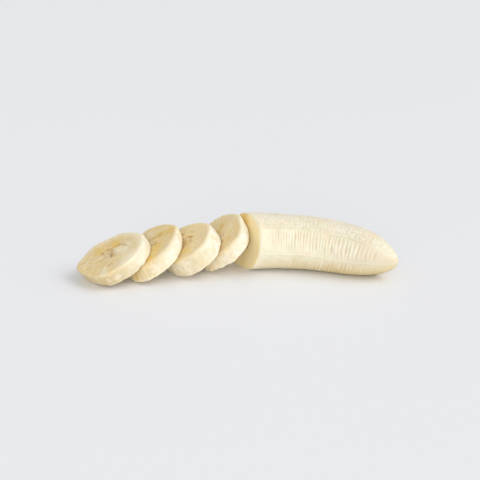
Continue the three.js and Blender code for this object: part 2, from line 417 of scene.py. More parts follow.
def ring_the_cap(piece, centre):
    """Divides the cut face round a centre into rings that shrink towards it."""
    pick(piece, "faces",
         lambda face: is_cut(face) and abs(face.calc_center_median().z - centre[2]) < CAP_REACH)
    left = 1
    for share in CAP_RINGS:
        bpy.ops.mesh.extrude_region_move(TRANSFORM_OT_translate={"value": (0, 0, 0)})
        bpy.ops.transform.resize(value=(share / left,) * 3, center_override=centre)
        left = share
    bpy.ops.mesh.poke()


def points_of(piece):
    """Places and normals of the piece's points, as arrays."""
    count = len(piece.data.vertices)
    places = np.empty(count * 3)
    normals = np.empty(count * 3)
    piece.data.vertices.foreach_get("co", places)
    piece.data.vertices.foreach_get("normal", normals)
    return places.reshape(-1, 3), normals.reshape(-1, 3)


def settle_in(piece, node):
    """Moves the piece to where the frame has the node: same middle, same lowest point."""
    low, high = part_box(node)
    places, _ = points_of(piece)
    middle = (places.min(0) + places.max(0)) / 2
    piece.location = (
        (low.x + high.x) / 2 - middle[0],
        (low.y + high.y) / 2 - middle[1],
        low.z - places[:, 2].min(),
    )
    apply_place()


# ---------- Values kept at each point ----------

def note(piece, name, values):
    """Keeps a value, or a vector, at each point of the piece for its relief and material."""
    values = np.asarray(values, float)
    kind = "FLOAT" if values.ndim == 1 else "FLOAT_VECTOR"
    attribute = piece.data.attributes.new(name, kind, "POINT")
    attribute.data.foreach_set("value" if values.ndim == 1 else "vector", values.ravel())


def smooth(begin, full, value):
    """Grows softly from 0 to 1 while the value goes from begin to full, up or down."""
    share = np.clip((value - begin) / (full - begin), 0, 1)
    return share * share * (3 - 2 * share)


def core_seeds(core, chance):
    """Tiny seeds in a row along each gap of the core: x, y, radius and depth of colour."""
    seeds = []
    for lobe in range(LOBES):
        for step in range(SEEDS_PER_LOBE):
            turned = math.radians(core + 360 / LOBES * lobe) + chance.uniform(-SEED_TURN, SEED_TURN)
            away = FIRST_SEED + step * SEED_SPACING + chance.uniform(-SEED_SCATTER, SEED_SCATTER)
            seeds.append((away * math.cos(turned), away * math.sin(turned),
                          chance.uniform(*SEED_RADII), chance.uniform(*SEED_DEPTHS)))
    return seeds


def off_stroke(across, up, start, end, half_width):
    """How far each point is from a stroke, in half widths, and its share of the way along it.
    The stroke is bowed a little and tapers to both ends."""
    run = np.subtract(end, start)
    share = np.clip(((across - start[0]) * run[0] + (up - start[1]) * run[1]) / (run @ run), 0, 1)
    bow = STROKE_BOW * np.sin(5 * share + start[0])
    off = np.hypot(across - start[0] - share * run[0] + bow, up - start[1] - share * run[1])
    taper = STROKE_END + (1 - STROKE_END) * np.sin(math.pi * share)
    return off / (half_width * taper), share


def note_cut(piece, across, up, depth, on_face, number, core, pale_tone_and_painted_light, flecks, patches, strokes):
    """Keeps what a cut face shows at each point of the piece, from where the point is across
    and up the face and how deep behind it, in mm. Gives back how far inside the outline each
    point of the face is, in mm, or below 0 how deep behind the face it is."""
    radius = np.hypot(across, up)
    angle = np.arctan2(up, across)
    behind = ~on_face & (depth > OUTLINE_DEPTHS[0]) & (depth < OUTLINE_DEPTHS[1])
    order = np.argsort(angle[behind])
    outline = np.interp(angle, angle[behind][order], radius[behind][order], period=2 * math.pi)
    inset = np.where(on_face, np.maximum(outline - radius, 0), -depth)
    note(piece, "inset", inset)
    note(piece, "face_place", np.column_stack([across, up, np.full(len(up), PATTERN_STEP * number)]))
    note(piece, "pale_tone_and_painted_light", np.full(len(up), pale_tone_and_painted_light))

    from_core = angle - math.radians(core)
    lobes = np.cos(LOBES * from_core)
    note(piece, "core", on_face * smooth(1.25, 0.7, radius / (CORE_RADIUS * (1 + LOBE_BULGE * lobes))))
    off_gap = np.abs(np.sin(from_core * LOBES / 2)) * radius
    note(piece, "gap", on_face * (lobes > 0) * smooth(*GAP_EDGE, off_gap) * smooth(*GAP_END, radius))

    # A mark is full round its middle and fades out a little past its radius.
    fleck = np.zeros(len(up))
    for x, y, size, dark in flecks + core_seeds(core, random.Random(number)):
        fleck = np.maximum(fleck, dark * smooth(1.5, 0.3, np.hypot(across - x, up - y) / size))
    patch = np.zeros(len(up))
    for x, y, size, amount in patches:
        patch += amount * np.exp(-((across - x) ** 2 + (up - y) ** 2) / size ** 2)
    reach = SLICE_PATCH_DEPTH if number else BODY_PATCH_DEPTH
    note(piece, "patch", patch * smooth(-reach, -reach / 4, inset))

    strand = np.zeros(len(up))
    for start, end, half_width, amount in strokes:
        off, share = off_stroke(across, up, start, end, half_width)
        if amount > 0:
            # A raised strand is a few fine fibres side by side.
            run = np.subtract(end, start)
            sideways = (across * run[1] - up * run[0]) / math.hypot(*run)
            ripple = 0.75 + 0.25 * np.cos(sideways * 11 + 4 * np.sin(4 * share))
            strand = np.maximum(strand, amount * smooth(1.25, 0.3, off) * ripple)
        else:
            # Dark streaks: brown streaks in the flesh, and painted shadow beside some raised fibres.
            fleck = np.maximum(fleck, -amount * smooth(1.9, 0.2, off))
    note(piece, "fleck", on_face * fleck)
    note(piece, "strand", on_face * strand)
    return inset


def note_wall(piece, along, angle, radius, roll, count, clear, fine):
    """Keeps where each point of the wall is between two ridges: bands across, lines along.
    along and radius are in mm. count numbers the bands, clear is how clear they are, and fine
    is how clear the lines are."""
    points = len(along)
    place = np.zeros((points, 3))
    strength = np.zeros(points)
    mottled = np.zeros(points)
    line = np.zeros(points)
    off_ridge = np.full(points, np.inf)
    for side, (slant, power, mottle, near_cut) in enumerate(SIDES):
        start = RIDGE_ANGLES[side] + roll
        width = (RIDGE_ANGLES[(side + 1) % len(SIDES)] - RIDGE_ANGLES[side]) % 360
        share = ((angle - start) % 360) / width
        inside = share < 1
        arc = np.radians(share * width) * radius
        from_ridge = np.minimum(share, 1 - share) * np.radians(width) * radius
        banded = np.column_stack([count + slant * arc / 2, arc, np.full(points, SIDE_STEP * side)])
        place = np.where(inside[:, None], banded, place)
        power = np.interp(share, SIDE_PLACES, power) * np.interp(along, NEAR_CUT, (near_cut, 1))
        strength = np.where(inside, power * np.clip(from_ridge / BAND_FADE, 0, 1), strength)
        mottled = np.where(inside, mottle * np.clip(from_ridge / DOT_FADE, 0, 1), mottled)

        off = np.radians((angle - start + 180) % 360 - 180) * radius
        for height, length, shift in LINE_WAVES:
            off += height * np.sin(along / length + shift * side)
        off_ridge = np.minimum(off_ridge, np.abs(off))
        lines = np.maximum(np.exp(-(off / LINE_HALF_WIDTH) ** 2),
                           0.5 * np.exp(-((off - SECOND_LINE) / LINE_HALF_WIDTH) ** 2))
        height, length, shift = LINE_FAINTNESS
        line = np.maximum(line, lines * (1 - height + height * np.sin(along / length + shift * side)))
    note(piece, "band_place", place)
    note(piece, "band_strength", strength * clear)
    note(piece, "mottled", mottled)
    note(piece, "line", line * fine)
    note(piece, "off_ridge", off_ridge)


# All that note keeps, by name, and of what kind it is. inset is in mm from the rim of a face:
# inwards above 0, and behind the face below 0.
KEPT = dict.fromkeys(("inset", "core", "gap", "fleck", "strand", "patch", "pale_tone_and_painted_light", "edge", "painted_shading", "yellow",
                      "orange", "grey", "wavy", "band_strength", "mottled", "line", "off_ridge"), "FLOAT")
KEPT |= dict.fromkeys(("face_place", "band_place"), "FLOAT_VECTOR")


# ---------- Node trees ----------

def add(tree, kind, links=None, **settings):
    """Adds a node: its settings, and what each input is linked to or set to."""
    made = tree.nodes.new(kind)
    for key, value in settings.items():
        setattr(made, key, value)
    for key, value in (links or {}).items():
        if isinstance(value, bpy.types.Node):
            value = value.outputs[0]
        if isinstance(value, bpy.types.NodeSocket):
            tree.links.new(value, made.inputs[key])
        else:
            made.inputs[key].default_value = value
    return made


def read_kept(tree):
    """What was kept at each point, by name, in a modifier's tree or a material's."""
    at = {}
    for name, kind in KEPT.items():
        if tree.type == "GEOMETRY":
            at[name] = add(tree, "GeometryNodeInputNamedAttribute", {"Name": name}, data_type=kind)
        else:
            reader = add(tree, "ShaderNodeAttribute", attribute_name=name)
            at[name] = reader.outputs["Fac" if kind == "FLOAT" else "Vector"]
    return at


def raise_relief(piece, terms_of):
    """Raises the surface by the sum of some terms: for each its height in mm, the value that
    counts as level, the value, and what it fades with."""
    tree = bpy.data.node_groups.new(piece.name + "_relief", "GeometryNodeTree")
    for way in ("INPUT", "OUTPUT"):
        tree.interface.new_socket("Geometry", in_out=way, socket_type="NodeSocketGeometry")
    shape = add(tree, "NodeGroupInput")
    metres = 0.0
    for height, level, value, *fades in terms_of(tree, read_kept(tree)):
        share = add(tree, "ShaderNodeMath", {0: value, 1: level}, operation="SUBTRACT")
        for fade in fades:
            share = add(tree, "ShaderNodeMath", {0: share, 1: fade}, operation="MULTIPLY")
        metres = add(tree, "ShaderNodeMath", {0: share, 1: height * MM, 2: metres}, operation="MULTIPLY_ADD")
    normal = add(tree, "GeometryNodeInputNormal")
    offset = add(tree, "ShaderNodeVectorMath", {0: normal, 3: metres}, operation="SCALE")
    moved = add(tree, "GeometryNodeSetPosition", {"Geometry": shape, "Offset": offset})
    add(tree, "NodeGroupOutput", {0: moved})
    finish_modifier(piece, "relief", "NODES", node_group=tree)


def fibres(tree, at):
    """Fine fibres that run from the middle of a cut face to its edge, 0 to 1."""
    flat = add(tree, "ShaderNodeVectorMath", {0: at["face_place"], 1: (1.0, 1.0, 0.0)}, operation="MULTIPLY")
    away = add(tree, "ShaderNodeVectorMath", {0: flat}, operation="LENGTH").outputs["Value"]
    heading = add(tree, "ShaderNodeVectorMath", {0: flat}, operation="NORMALIZE")
    round_it = add(tree, "ShaderNodeVectorMath", {0: heading, 3: FIBRES_PER_RADIAN}, operation="SCALE")
    outward = add(tree, "ShaderNodeVectorMath", {0: (0.0, 0.0, 1 / FIBRE_LENGTH), 3: away},
                  operation="SCALE")
    # A little of the place itself keeps the fibres from being all alike.
    shifted = add(tree, "ShaderNodeVectorMath", {0: at["face_place"], 1: (0.02, 0.02, 1.0), 2: outward},
                  operation="MULTIPLY_ADD")
    whole = add(tree, "ShaderNodeVectorMath", {0: round_it, 1: shifted}, operation="ADD")
    return add(tree, "ShaderNodeTexNoise", {"Vector": whole, "Scale": 1.0, "Detail": 3.0, "Roughness": 0.6})


def bands(tree, at):
    """Bands across the flesh between two ridges, about -1 to 1, with gaps and forks."""
    place = at["band_place"]
    # A wave across the bands, which wanders by up to about one band.
    drawn = add(tree, "ShaderNodeVectorMath", {0: place, 1: BAND_WANDER}, operation="MULTIPLY")
    wander = add(tree, "ShaderNodeTexNoise", {"Vector": drawn, "Scale": 1.0, "Detail": 1.0})
    count = add(tree, "ShaderNodeSeparateXYZ", {0: place})
    phase = add(tree, "ShaderNodeMath", {0: wander, 1: 1.2, 2: count}, operation="MULTIPLY_ADD")
    turns = add(tree, "ShaderNodeMath", {0: phase, 1: 2 * math.pi}, operation="MULTIPLY")
    wave = add(tree, "ShaderNodeMath", {0: turns}, operation="SINE")
    # Thin strokes on the wave, which break and join the bands.
    thin = add(tree, "ShaderNodeVectorMath", {0: place, 1: BAND_STROKES}, operation="MULTIPLY")
    strokes = add(tree, "ShaderNodeTexNoise", {"Vector": thin, "Scale": 1.0, "Detail": 1.0})
    strokes = add(tree, "ShaderNodeMapRange", {0: strokes, 1: 0.34, 2: 0.66, 3: -0.35, 4: 0.35})
    whole = add(tree, "ShaderNodeMath", {0: wave, 1: 0.65, 2: strokes}, operation="MULTIPLY_ADD")
    # All of it is fainter in patches.
    broad = add(tree, "ShaderNodeVectorMath", {0: place, 1: BAND_PATCHES}, operation="MULTIPLY")
    patches = add(tree, "ShaderNodeTexNoise", {"Vector": broad, "Scale": 1.0, "Detail": 1.0})
    patches = add(tree, "ShaderNodeMapRange", {0: patches, 1: 0.34, 2: 0.56, 3: 0.65},
                  interpolation_type=SOFTLY)
    strength = add(tree, "ShaderNodeMath", {0: patches, 1: at["band_strength"]}, operation="MULTIPLY")
    return add(tree, "ShaderNodeMath", {0: whole, 1: strength}, operation="MULTIPLY")


def mottling(tree, at):
    """Dots and short dashes across the flesh, -1 to 1, on the sides that have them."""
    drawn = add(tree, "ShaderNodeVectorMath", {0: at["band_place"], 1: DOTS}, operation="MULTIPLY")
    dots = add(tree, "ShaderNodeTexNoise", {"Vector": drawn, "Scale": 1.0, "Detail": 2.0, "Roughness": 0.7})
    dots = add(tree, "ShaderNodeMapRange", {0: dots, 1: 0.3, 2: 0.7, 3: -1.0})
    return add(tree, "ShaderNodeMath", {0: dots, 1: at["mottled"]}, operation="MULTIPLY")


def cut_relief(tree, at):
    """Relief of a cut face: fibres, a sunk core, pits of the seeds and raised strands."""
    on_face = add(tree, "ShaderNodeMapRange", {0: at["inset"], 1: 0.2, 2: 1.6}, interpolation_type=SOFTLY)
    return [
        (0.24, 0.5, fibres(tree, at), on_face),
        (-0.3, 0, at["core"]),
        (-0.12, 0, at["gap"]),
        (-0.25, 0, at["fleck"]),
        (0.2, 0, at["strand"]),
    ]


def wall_relief(tree, at, band_height, line_depth):
    """Relief of the wall: bands and dots, and a blunt lip with a fine line along each ridge."""
    on_wall = add(tree, "ShaderNodeMapRange", {0: at["inset"], 1: 0.0, 2: -1.5}, interpolation_type=SOFTLY)
    lip = add(tree, "ShaderNodeMapRange", {0: at["off_ridge"], 1: 2.6, 2: 0.4}, interpolation_type=SOFTLY)
    return [
        (band_height, 0, bands(tree, at)),
        (0.05, 0, mottling(tree, at)),
        (0.12, 0, lip, on_wall),
        (-line_depth, 0, at["line"], on_wall),
    ]


# ---------- The uncut end ----------

def body_fullness(share):
    """Share of the full section that is left at a share of the length."""
    flank = max(1 - share ** TIP_FULLNESS, 0) ** TIP_SHARPNESS
    from_end = (1 - share) * BODY_LENGTH / NUB_LENGTH
    dome = math.sqrt(max(1 - (1 - min(from_end, 1)) ** 2, 0))
    nub = NUB_RADIUS / HALF_HEIGHT * dome
    return math.hypot(flank, nub * (1 - flank)) * (1 - WAIST * math.sin(math.pi * share))


def cut_slopes():
    """How far the cut runs along the fruit, per metre to the front and per metre upwards."""
    slant = math.tan(math.radians(CUT_SLANT))
    return slant, math.tan(math.radians(CUT_TILT)) / math.cos(math.radians(CUT_SLANT))


def grow_body():
    """The uncut end, standing on its slanted cut with the tip up."""
    # Its X points to the back later on, so angles from the front are taken from 180 here.
    piece = ridged_outline("peeled_end", HALF_WIDTH, HALF_HEIGHT, [180 - angle for angle in RIDGE_ANGLES],
                           [(180 - angle, amount) for angle, amount in SAG])
    bpy.ops.mesh.extrude_region_move(TRANSFORM_OT_translate={"value": (0, 0, SLANT_FADE)})
    full = body_fullness(SLANT_FADE / BODY_LENGTH)
    bpy.ops.transform.resize(value=(full, full, 1), center_override=(0, 0, SLANT_FADE))
    depth = SLANT_FADE
    for ring in range(1, FLANK_RINGS + 1):
        share = ring / FLANK_RINGS
        crowded = share * (1 + RING_CROWDING - RING_CROWDING * share)
        target = SLANT_FADE + (BODY_LENGTH - SLANT_FADE) * crowded
        bpy.ops.mesh.extrude_region_move(TRANSFORM_OT_translate={"value": (0, 0, target - depth)})
        left = max(body_fullness(target / BODY_LENGTH), LAST_RING)
        bpy.ops.transform.resize(value=(left / full, left / full, 1), center_override=(0, 0, target))
        full = left
        depth = target
    bpy.ops.mesh.merge(type="CENTER")
    face_out()
    leave()
    # The knife went through at a slant: turn the lowest outline and draw it out to match.
    slant, tilt = cut_slopes()
    steepest = math.degrees(math.atan2(-tilt, slant))
    slope = math.atan(math.hypot(slant, tilt))
    turn(piece, z=-steepest)
    edit()
    pick(piece, "verts", lambda vert: vert.co.z < 1e-6)
    bpy.ops.transform.rotate(value=-slope, orient_axis="Y", center_override=(0, 0, 0))
    bpy.ops.transform.resize(value=(1 / math.cos(slope), 1, 1 / math.cos(slope)), center_override=(0, 0, 0))
    leave()
    turn(piece, z=steepest)
    edit()
    pick(piece, "edges", lambda edge: edge.calc_length() > SLANT_FADE / 2)
    bpy.ops.mesh.subdivide(number_cuts=SLANT_RINGS)
    soften_rim(piece)
    ring_the_cap(piece, (0, 0, 0))
    face_out()
    leave()
    finish_modifier(piece, "smooth_flesh", "SUBSURF", levels=BODY_SMOOTHING, render_levels=BODY_SMOOTHING)
    return piece


def note_body(piece):
    """Keeps what each point of the fruit shows, while the fruit is still straight."""
    places, normals = points_of(piece)
    along, back, up = places.T / MM
    across = -back
    slant, tilt = cut_slopes()
    depth = along - across * slant - up * tilt
    # The face is what looks out of the cut, and lies at most 2 mm from it.
    on_face = (normals[:, 0] < -0.7) & (depth < 2)
    note_cut(piece, across * math.hypot(1, slant), up * math.hypot(1, tilt), np.maximum(depth, 0), on_face,
             0, **FACES["banana_body"])
    # A yellow end with an orange-tan zone before it, a painted highlight along the top near the tip, where
    # its facet catches the light, and a pale collar next to the cut.
    from_tip = BODY_LENGTH / MM - along
    high = up / np.maximum(np.hypot(across, up), 1)
    # Painted highlight: a pale streak along the top near the tip, kept clear of the yellow and orange.
    tip_highlight = smooth(*TOP, high) * smooth(*TIP_HIGHLIGHT[0], from_tip) * smooth(*TIP_HIGHLIGHT[1], from_tip)
    orange = smooth(*ORANGE_ZONE[0], from_tip) * smooth(*ORANGE_ZONE[1], from_tip)
    note(piece, "yellow", smooth(*YELLOW_TIP, from_tip) * (1 - tip_highlight))
    note(piece, "orange", orange * smooth(*UPPER_HALF, high) * (1 - tip_highlight))
    note(piece, "edge", np.maximum(~on_face * 0.7 * smooth(*COLLAR, depth), 0.2 * tip_highlight))
    angle = np.degrees(np.arctan2(up / HALF_HEIGHT, across / HALF_WIDTH))
    # Painted shade: grey on the front and upper front towards the tip, which tones down where the key light
    # falls brightest.
    grey = smooth(*GREY_END, along) * smooth(*GREY_SIDE[0], angle) * smooth(*GREY_SIDE[1], angle)
    note(piece, "grey", grey)
    note_wall(piece, along, angle, np.hypot(across, up), 0, np.interp(along, BAND_PLACES, BAND_COUNTS),
              np.interp(depth, CLEAR_PLACES, CLEARNESS), np.interp(depth, LINE_PLACES, LINE_CLEARNESS))


def body_relief(tree, at):
    """The uncut end swells and dips a little, and has fine pores."""
    place = add(tree, "GeometryNodeInputPosition")
    swell = add(tree, "ShaderNodeTexNoise", {"Vector": place, "Scale": 1 / BODY_SWELLS, "Detail": 2.0})
    pores = add(tree, "ShaderNodeTexNoise", {"Vector": place, "Scale": 1 / PORES, "Detail": 2.0})
    terms = [(1.0, 0.5, swell), (0.15, 0.5, pores)]
    return terms + cut_relief(tree, at) + wall_relief(tree, at, band_height=0.13, line_depth=0.08)


def make_body():
    piece = grow_body()
    turn(piece, x=90, z=90)
    note_body(piece)
    raise_relief(piece, body_relief)
    places, _ = points_of(piece)
    along = places[:, 0]
    length = along.max() - along.min()
    # The tip sinks a little, and the whole fruit bends to the front.
    sink_radius = BODY_LENGTH ** 2 / (2 * TIP_DROP)
    turn(piece, x=90)
    finish_modifier(piece, "sink", "SIMPLE_DEFORM", deform_method="BEND", deform_axis="Z",
                    angle=length / sink_radius)
    turn(piece, x=-90)
    finish_modifier(piece, "bend", "SIMPLE_DEFORM", deform_method="BEND", deform_axis="Z",
                    angle=-length / BEND_RADIUS)
    turn(piece, z=CUT_HEADING)
    piece.location.z = CUT_CENTRE_HEIGHT
    apply_place()
    # Its own weight flattens the underside.
    edit()
    pick(piece, "verts", lambda vert: vert.co.z < 0)
    bpy.ops.transform.resize(value=(1, 1, 0), center_override=(0, 0, 0))
    leave()
    settle_in(piece, "banana_body")
    places, _ = points_of(piece)
    # Painted shade: tan near the floor on the underside, weaker near the cut.
    painted_shading = smooth(*NEAR_FLOOR, places[:, 2] / MM) * np.interp(along / MM, PAINTED_SHADING_ALONG, (0.3, 1))
    note(piece, "painted_shading", painted_shading)
    bpy.ops.object.shade_smooth()
    return piece


# ---------- The slices ----------

def grow_slice(name, radius, thick, roll, grain, shear, drawn):
    """A slice lying flat, with its front face up at the origin."""
    ridges = [angle + roll for angle in RIDGE_ANGLES]
    piece = ridged_outline(name, radius, radius, ridges, zip(ridges, drawn))
    bpy.ops.mesh.extrude_region_move(TRANSFORM_OT_translate={"value": (0, 0, -thick)})
    leave()
    turn(piece, z=-grain)
    stretch(piece, x=FACE_STRETCH)
    turn(piece, z=grain)
    edit()
    pick(piece, "verts", lambda vert: vert.co.z < -thick / 2)
    bpy.ops.transform.translate(value=(*shear, 0))
    face_out()
    # The edges of the wall are those that join the two faces.
    pick(piece, "edges", lambda edge: len({round(vert.co.z, 6) for vert in edge.verts}) == 2)
    bpy.ops.mesh.subdivide(number_cuts=WALL_CUTS)
    soften_rim(piece)
    ring_the_cap(piece, (0, 0, 0))
    ring_the_cap(piece, (*shear, -thick))
    face_out()
    leave()
    finish_modifier(piece, "smooth_flesh", "SUBSURF", levels=SLICE_SMOOTHING, render_levels=SLICE_SMOOTHING)
    return piece


def slice_relief(tree, at):
    """A slice is bent a little, scalloped down its wall and frayed where the knife left it."""
    place = add(tree, "GeometryNodeInputPosition")
    # Each slice reads the patterns at a place of its own.
    shifted = add(tree, "ShaderNodeVectorMath", {0: at["face_place"], 1: (0.0, 0.0, 0.01), 2: place},
                  operation="MULTIPLY_ADD")
    swell = add(tree, "ShaderNodeTexNoise", {"Vector": shifted, "Scale": 1 / SLICE_SWELLS, "Detail": 2.0})
    fray = add(tree, "ShaderNodeTexNoise", {"Vector": shifted, "Scale": 1 / FRAYS, "Detail": 3.0})
    scallop = add(tree, "ShaderNodeTexNoise", {"Vector": shifted, "Scale": 1 / SCALLOPS, "Detail": 1.0})
    near_rim = add(tree, "ShaderNodeMapRange", {0: at["inset"], 1: -2.0, 2: -0.3}, interpolation_type=SOFTLY)
    past_rim = add(tree, "ShaderNodeMapRange", {0: at["inset"], 1: 1.5, 2: 0.3}, interpolation_type=SOFTLY)
    on_wall = add(tree, "ShaderNodeMapRange", {0: at["inset"], 1: 0.6, 2: -0.6}, interpolation_type=SOFTLY)
    terms = [
        (1.0, 0.5, swell),
        (0.135, 0.5, fray),
        (0.72, 0.5, fray, near_rim, past_rim),
        (1.2, 0.5, scallop, on_wall, at["wavy"]),
    ]
    return terms + cut_relief(tree, at) + wall_relief(tree, at, band_height=0.1, line_depth=0.3)


def tone_slice(piece, angle, inset, back_rim, warmth, rim_width):
    """Keeps where the wall of a slice is painted tan as painted shade, near the floor and on the side away
    from the light, or nearly white as painted light on the lit side, and where its rims are pale.
    """
    places, _ = points_of(piece)
    height = places[:, 2] / MM
    low = smooth(*NEAR_FLOOR, height)
    # Painted shade: tan on the side of the wall away from the light, which fades again further round, and a
    # little tan on the back.
    tan_front = smooth(*TAN_FRONT, angle) * (1 - 0.7 * smooth(*TAN_FADE, angle))
    tan = np.where(angle < TAN_PARTING, tan_front, 0.3 * smooth(*TAN_BACK, angle))
    # Painted light: nearly white on the lit side.
    white = smooth(*WHITE_SIDE[0], angle) * smooth(*WHITE_SIDE[1], angle)
    # Tan near the floor is painted shade too, as much as warmth says; below 0 the wall is painted whiter
    # there.
    note(piece, "painted_shading", np.maximum(warmth * low, (0.25 + 0.7 * warmth) * tan) - 0.35 * white * (1 - low))
    # The face's paler outer ring is kept off the side away from the light and off the floor, so it shows
    # where light falls: partly the flesh's own ring, partly painted light.
    rim = 0.75 * smooth(rim_width, 0.4, inset) * smooth(-1.5, 0, inset)
    rim *= (0.1 + 0.9 * smooth(*CLEAR_OF_FLOOR, height)) * (1 - 0.9 * tan)
    note(piece, "edge", np.maximum(rim, 0.6 * back_rim))


def cut_slice(node, number, size, thick, lean, swing, roll, grain, shear, drawn, warmth, rim_width):
    """A slice, made lying flat and then leaned back."""
    piece = grow_slice(node.replace("slice_", "cut_"), size * FACE_RADIUS, thick * MM, roll, grain,
                       [offset * MM for offset in shear], drawn)
    places, normals = points_of(piece)
    x, y, z = places.T / MM
    across = x + shear[0] * z / thick
    up = y + shear[1] * z / thick
    angle = np.degrees(np.arctan2(up, across))
    # The faces are what looks up or down, and the rest is wall.
    on_face = np.abs(normals[:, 2]) > 0.6
    depth = np.maximum(np.minimum(-z, z + thick), 0)
    inset = note_cut(piece, across, up, depth, on_face, number, **FACES[node])
    note_wall(piece, -z, angle, np.hypot(across, up), roll, PATTERN_STEP * number - z / SLICE_BAND_WIDTH,
              SLICE_CLEARNESS, SLICE_LINE_CLEARNESS)
    note(piece, "wavy", 0.3 + 0.7 * smooth(*WAVY_SIDE, np.abs(angle)))
    # Painted highlight: a pale line along the back rim of the wall, where light shows through the thin edge.
    back_rim = ~on_face * smooth(2.2, 0.8, thick + z)
    raise_relief(piece, slice_relief)
    turn(piece, x=lean, z=swing)
    settle_in(piece, node)
    tone_slice(piece, angle, inset, back_rim, warmth, rim_width)
    bpy.ops.object.shade_smooth()
    return piece


# ---------- Materials ----------

def colour(code):
    """Linear colour of an sRGB hex code."""
    channels = [int(code[i:i + 2], 16) / 255 for i in (1, 3, 5)]
    linear = [c / 12.92 if c <= 0.04045 else ((c + 0.055) / 1.055) ** 2.4 for c in channels]
    return (*linear, 1)


def lay_tints(tree, ground, tints):
    """Lays tints over the ground colour, one after the other. For each tint: what it follows,
    the values at which it begins and is full, how strong it is then, how it grows, its colour."""
    for value, begin, full, strongest, growth, code in tints:
        share = add(tree, "ShaderNodeMapRange", {0: value, 1: begin, 2: full, 4: strongest},
                    interpolation_type=growth)
        laid = add(tree, "ShaderNodeMix", {0: share, 6: ground, 7: colour(code)}, data_type="RGBA")
        ground = laid.outputs[2]
    return ground


def wall_colour(tree, at, place):
    """Cream, painted tan near the floor and on the side away from the light as painted shade, whiter on the
    lit side as painted light, and grey towards the tip as painted shade. The bands are painted darker in
    their hollows as painted shade and lighter on their crests as painted highlight, and the ridge grooves
    darker as painted shadow.
    """
    cloudy = add(tree, "ShaderNodeTexNoise", {"Vector": place, "Scale": 1 / CLOUDS, "Detail": 3.0,
                                              "Roughness": 0.6})
    blush = add(tree, "ShaderNodeTexNoise", {"Vector": place, "Scale": 1 / BLUSHES, "Detail": 2.0})
    # The slices' walls are blotched where they were handled.
    blotch = add(tree, "ShaderNodeTexNoise", {"Vector": place, "Scale": 1 / BLOTCHES, "Detail": 1.0})
    tan_blotches = add(tree, "ShaderNodeMath", {0: at["wavy"], 1: 0.3}, operation="MULTIPLY")
    white_blotches = add(tree, "ShaderNodeMath", {0: at["wavy"], 1: 0.35}, operation="MULTIPLY")
    dots = mottling(tree, at)
    across = bands(tree, at)
    return lay_tints(tree, colour("#f3ecd6"), [
        (cloudy, 0.35, 0.65, 1, SOFTLY, "#ebe2c6"),
        (blush, 0.5, 0.68, 0.45, SOFTLY, "#f0dcc2"),
        (blush, 0.5, 0.34, 0.45, SOFTLY, "#e4e0bd"),
        # Painted shade in tan where the value is above 0, and painted light in near white where it is below
        # 0.
        (at["painted_shading"], 0, 1, 1, EVENLY, "#d9c493"),
        (at["painted_shading"], 0, -1, 1, EVENLY, "#f9f4e8"),
        (at["orange"], 0, 1, 0.5, EVENLY, "#ecd2a6"),
        (at["yellow"], 0, 1, 0.7, EVENLY, "#e3d5a4"),
        # Grey painted shade towards the tip.
        (at["grey"], 0, 1, 0.6, EVENLY, "#dfd5bf"),
        (blotch, 0.5, 0.34, tan_blotches, SOFTLY, "#dfca94"),
        (blotch, 0.5, 0.68, white_blotches, SOFTLY, "#fffaee"),
        (dots, 0.1, -0.7, 0.3, SOFTLY, "#d3c7a6"),
        (dots, 0, 0.6, 0.45, SOFTLY, "#fcf5ea"),
        # The bands' colour follows their relief: painted highlight on the crests and painted shade in the
        # hollows.
        (across, 0.1, 0.8, 0.65, SOFTLY, "#fbf5e4"),
        (across, -0.05, -0.8, 0.65, SOFTLY, "#c6b68d"),
        # Painted shadow: the grooves along the ridges are painted darker.
        (at["line"], 0, 1, 0.38, EVENLY, "#c6b78c"),
    ])


def cut_colour(tree, at, place):
    """Tan, with fibres, a darker core and brown seeds, and paler by a set amount: a tone of its own on a
    slice, and painted light on the body's cut.
    """
    fibre = fibres(tree, at)
    hue = add(tree, "ShaderNodeTexNoise", {"Vector": place, "Scale": 1 / HUES, "Detail": 2.0})
    # The soft flesh round the seeds is torn into fine specks, dark and light.
    torn = add(tree, "ShaderNodeTexNoise", {"Vector": place, "Scale": 1 / TORN_SPECKS, "Detail": 2.0})
    dark_specks = add(tree, "ShaderNodeMath", {0: at["core"], 1: 0.6}, operation="MULTIPLY")
    light_specks = add(tree, "ShaderNodeMath", {0: at["core"], 1: 0.8}, operation="MULTIPLY")
    return lay_tints(tree, colour("#dac18b"), [
        (fibre, 0.35, 0.65, 1, SOFTLY, "#e9d5a5"),
        (hue, 0.5, 0.66, 0.6, SOFTLY, "#e3c57e"),
        (hue, 0.5, 0.36, 0.6, SOFTLY, "#dcc5a3"),
        # Paler tone; on the body's cut it is painted light against the shade of slice_4.
        (at["pale_tone_and_painted_light"], 0, 1, 1, EVENLY, "#ffebb8"),
        (at["patch"], 0, 1, 1, SOFTLY, "#efe4c4"),
        (at["core"], 0, 1, 0.4, EVENLY, "#cfad6b"),
        (torn, 0.47, 0.32, dark_specks, SOFTLY, "#b08f5c"),
        (torn, 0.53, 0.68, light_specks, SOFTLY, "#f6ead0"),
        (at["gap"], 0, 1, 0.35, EVENLY, "#bf9a57"),
        (at["fleck"], 0, 1, 0.9, EVENLY, "#a87a3a"),
        (at["strand"], 0, 1, 0.85, EVENLY, "#faf2da"),
    ])


